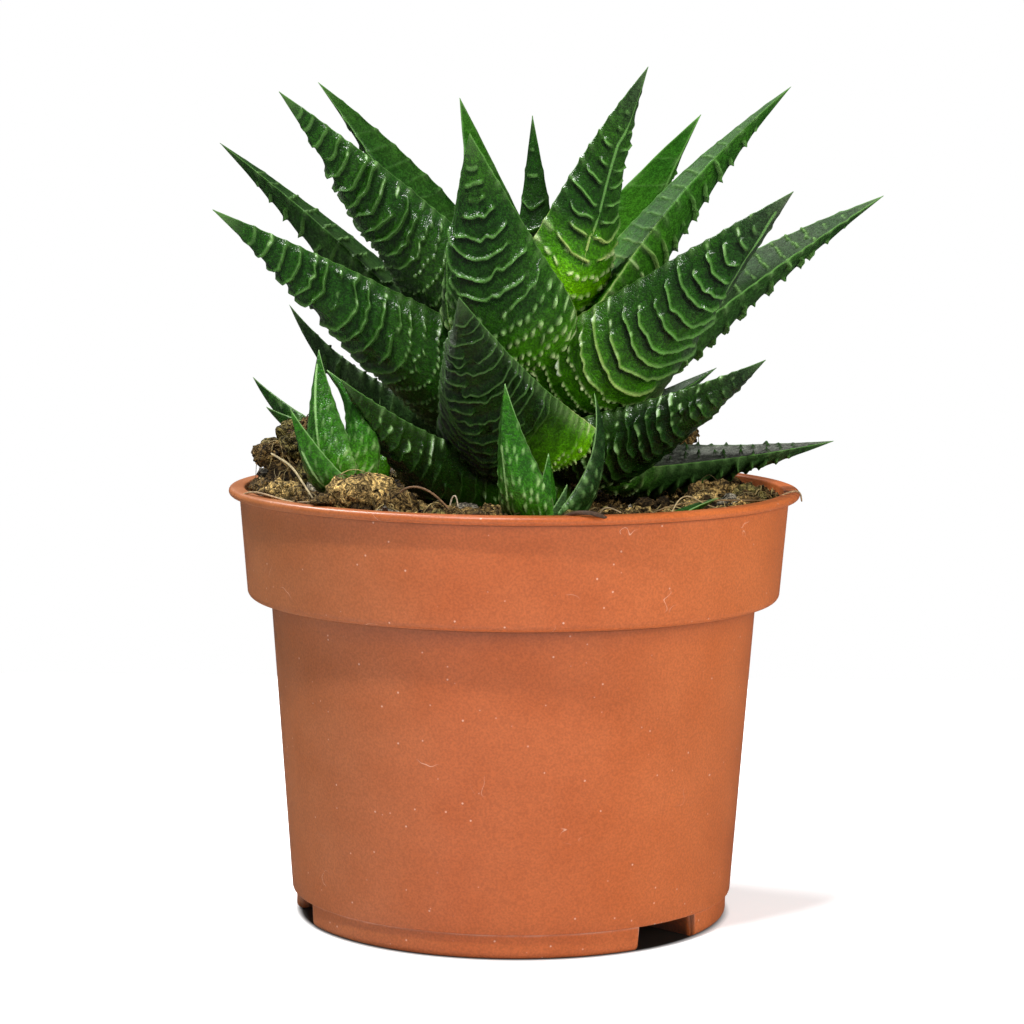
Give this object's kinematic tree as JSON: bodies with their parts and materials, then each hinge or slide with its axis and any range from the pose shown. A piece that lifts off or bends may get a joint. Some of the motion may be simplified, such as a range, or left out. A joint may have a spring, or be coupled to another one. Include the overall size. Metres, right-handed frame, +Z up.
{
  "type": "potted haworthia",
  "caption": "Haworthia rosette of stiff, ridged, pointed leaves with young offsets, in a soil-filled terracotta-coloured nursery pot.",
  "frame": {"origin": "middle of the pot's flat base, on the surface that it stands on", "axes": "+Z up through the pot, -Y towards the side that the picture shows, +X to that side's right"},
  "size_m": [0.1401, 0.1254, 0.1776],
  "materials": {
    "pot": "terracotta-coloured moulded plastic with a soft sheen",
    "stem": "fleshy plant tissue",
    "leaf": "waxy dark green skin with raised pale green ridges",
    "offset": "waxy mid green skin with pale margins",
    "soil": "coarse peat and coir crumbs"
  },
  "bodies": {
    "root": {"pot": "pot", "stem": "stem", "leaf_heart": "leaf", "leaf_heart_back": "leaf", "leaf_top_right": "leaf", "leaf_top_left": "leaf", "leaf_top_back": "leaf", "leaf_right_high": "leaf", "leaf_back_high": "leaf", "leaf_left_high_back": "leaf", "leaf_left_high": "leaf", "leaf_right_front": "leaf", "leaf_front_high": "leaf", "leaf_back_left": "leaf", "leaf_right_long": "leaf", "leaf_back_right": "leaf", "leaf_left_back": "leaf", "leaf_left_long": "leaf", "leaf_back_low": "leaf", "leaf_right_low": "leaf", "leaf_left_low": "leaf", "leaf_front_low": "leaf", "leaf_left_low_back": "leaf", "leaf_right_low_back": "leaf", "leaf_right_flat": "leaf", "offset_left_front": "offset", "offset_left_back": "offset", "offset_front": "offset", "offset_middle": "offset", "offset_right_front": "offset", "soil": "soil"}
  },
  "joints": []
}
